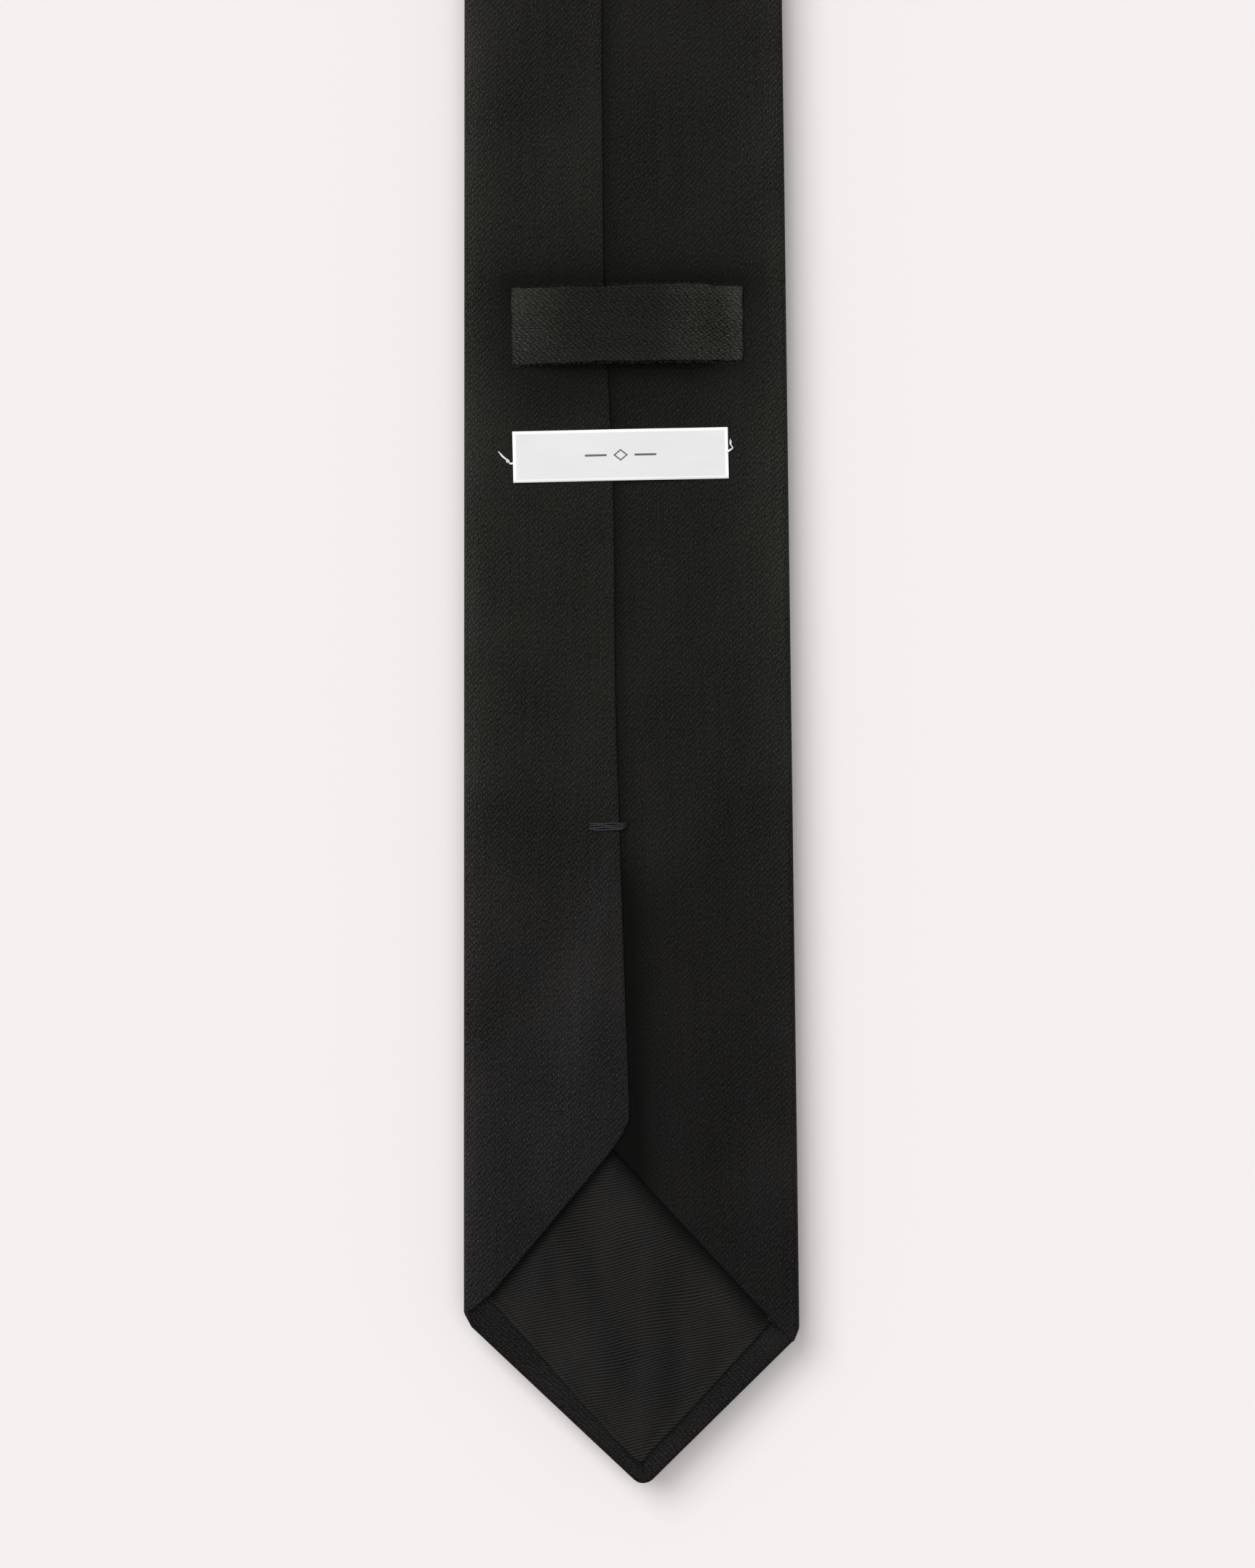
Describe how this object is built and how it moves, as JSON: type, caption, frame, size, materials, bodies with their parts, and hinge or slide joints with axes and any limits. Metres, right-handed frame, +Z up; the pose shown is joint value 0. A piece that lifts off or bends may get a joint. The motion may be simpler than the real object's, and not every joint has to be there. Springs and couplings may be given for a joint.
{
  "type": "necktie",
  "caption": "Black satin necktie folded in three with its back up: wide pointed blade, lined tip window, keeper loop, blank label, bar tack and narrow pointed tail.",
  "frame": {"origin": "centre of the folded tie's box, at the level of the shelf under it", "axes": "+X across the tie, +Y from the blade's tip to the first fold, +Z up, away from the shelf and out of the blade's back"},
  "size_m": [0.08, 0.5388, 0.017],
  "materials": {
    "satin": "black satin weave, soft sheen",
    "lining": "black twill lining, fine near-level ribs",
    "wool": "brushed natural wool interlining",
    "label_satin": "white woven satin ribbon, blank",
    "dark_thread": "twisted black thread",
    "white_thread": "twisted white thread"
  },
  "bodies": {
    "blade": {"blade_shell": "satin", "blade_interlining": "wool", "blade_tipping": "lining", "blade_slip_stitch": "dark_thread", "blade_bar_tack": "dark_thread", "keeper_loop": "satin", "loop_stitch_left": "dark_thread", "loop_stitch_right": "dark_thread", "label": "label_satin", "label_stitch_left": "white_thread", "label_stitch_right": "white_thread", "front_fold_shell": "satin", "front_fold_interlining": "wool"},
    "neck": {"blade_shell_upper": "satin", "neck_shell": "satin", "neck_interlining": "wool", "blade_joining_stitch": "dark_thread", "neck_slip_stitch": "dark_thread", "tail_fold_shell": "satin", "tail_fold_interlining": "wool"},
    "tail": {"neck_shell_lower": "satin", "tail_shell": "satin", "tail_interlining": "wool", "tail_tipping": "lining", "tail_joining_stitch": "dark_thread", "tail_slip_stitch": "dark_thread", "tail_bar_tack": "dark_thread"}
  },
  "joints": [
    {"name": "front_fold", "type": "hinge", "parent": "blade", "child": "neck", "pos_m": [0, 0.2656, 0.0078], "axis": [1, 0, 0], "range_deg": [0, 179.9], "deforming": ["front_fold_shell", "front_fold_interlining"]},
    {"name": "tail_fold", "type": "hinge", "parent": "neck", "child": "tail", "pos_m": [0, -0.2174, 0.0038], "axis": [-1, 0, 0], "range_deg": [0, 179.9], "deforming": ["tail_fold_shell", "tail_fold_interlining"]}
  ]
}
